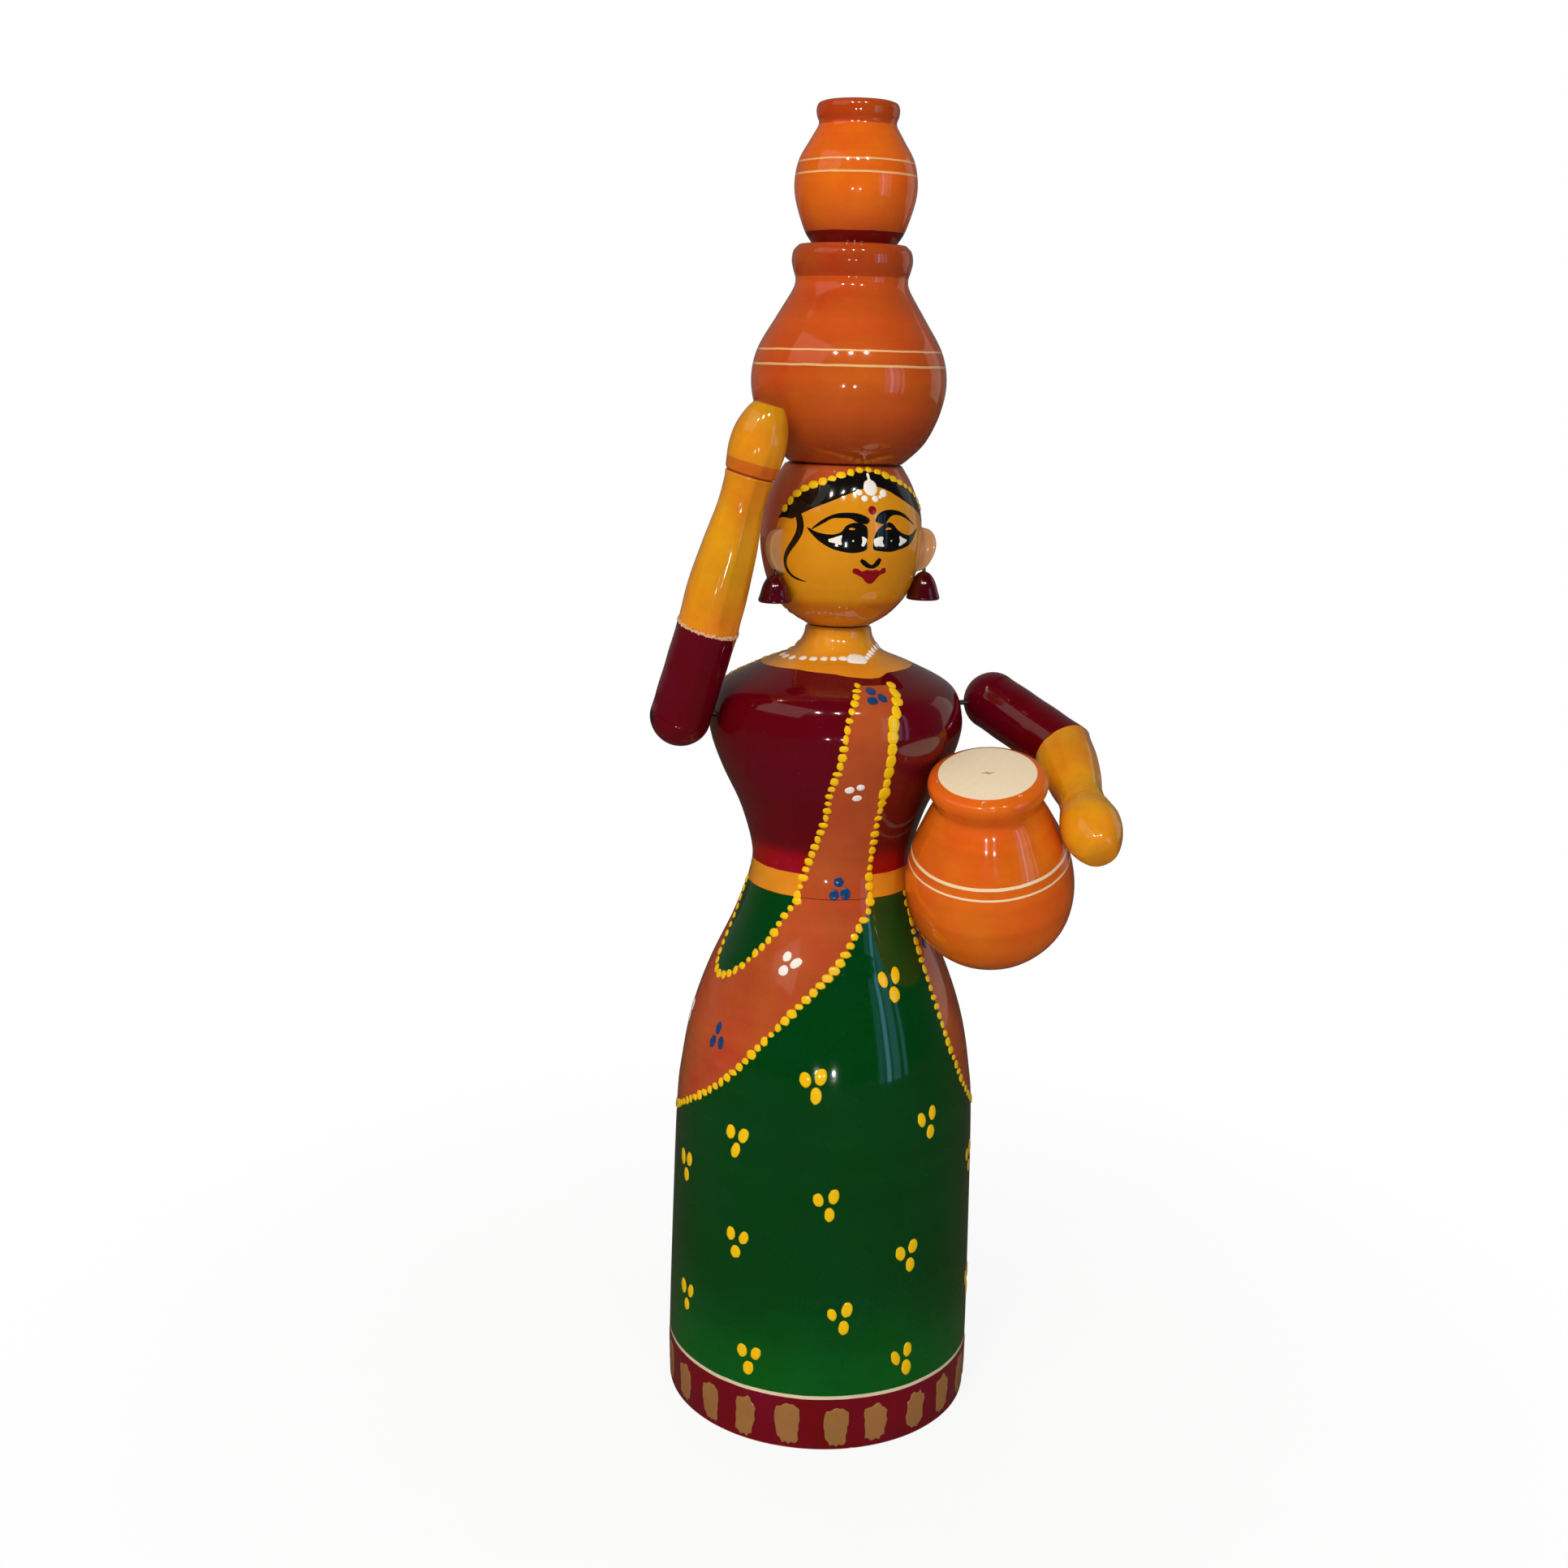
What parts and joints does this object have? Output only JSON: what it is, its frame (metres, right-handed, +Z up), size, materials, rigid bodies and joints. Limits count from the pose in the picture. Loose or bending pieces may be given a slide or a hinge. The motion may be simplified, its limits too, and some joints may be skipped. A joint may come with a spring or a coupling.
{
  "type": "pot carrier doll",
  "caption": "Turned and lacquered wooden figure of a woman carrying stacked water pots, with arms that swing on shoulder nails.",
  "frame": {"origin": "centre of the flat underside of the skirt, on the table", "axes": "+Z up the turned axis, -Y the way the face looks, +X towards the figure's left arm"},
  "size_m": [0.1279, 0.113, 0.381],
  "materials": {
    "green_lacquer": "gloss lacquer",
    "maroon_lacquer": "gloss lacquer",
    "mustard_lacquer": "gloss lacquer",
    "orange_lacquer": "gloss lacquer",
    "pale_wood": "bare",
    "nail_steel": "dull"
  },
  "bodies": {
    "figure": {"skirt": "green_lacquer", "bodice": "maroon_lacquer", "head": "mustard_lacquer", "lower_pot": "orange_lacquer", "upper_pot": "orange_lacquer", "hip_pot": "orange_lacquer", "right_ear": "pale_wood", "left_ear": "pale_wood", "right_earring": "maroon_lacquer", "left_earring": "maroon_lacquer", "right_shoulder_nail": "nail_steel", "left_shoulder_nail": "nail_steel", "waist_dowel": "pale_wood", "neck_dowel": "pale_wood", "lower_pot_peg": "pale_wood", "upper_pot_peg": "pale_wood", "hip_pot_peg": "pale_wood", "ear_pegs": "pale_wood", "earring_pins": "nail_steel"},
    "right_arm": {"right_upper_arm": "maroon_lacquer", "right_forearm": "mustard_lacquer", "right_elbow_dowel": "pale_wood"},
    "left_arm": {"left_upper_arm": "maroon_lacquer", "left_forearm": "mustard_lacquer", "left_elbow_dowel": "pale_wood"}
  },
  "joints": [
    {"name": "right_arm_swing", "type": "hinge", "parent": "figure", "child": "right_arm", "pos_m": [-0.0471, 0, 0.21292], "axis": [1, 0, 0], "range_deg": [0, 140]},
    {"name": "left_arm_swing", "type": "hinge", "parent": "figure", "child": "left_arm", "pos_m": [0.0505, 0, 0.21342], "axis": [-1, 0, 0], "range_deg": [0, 290]}
  ]
}
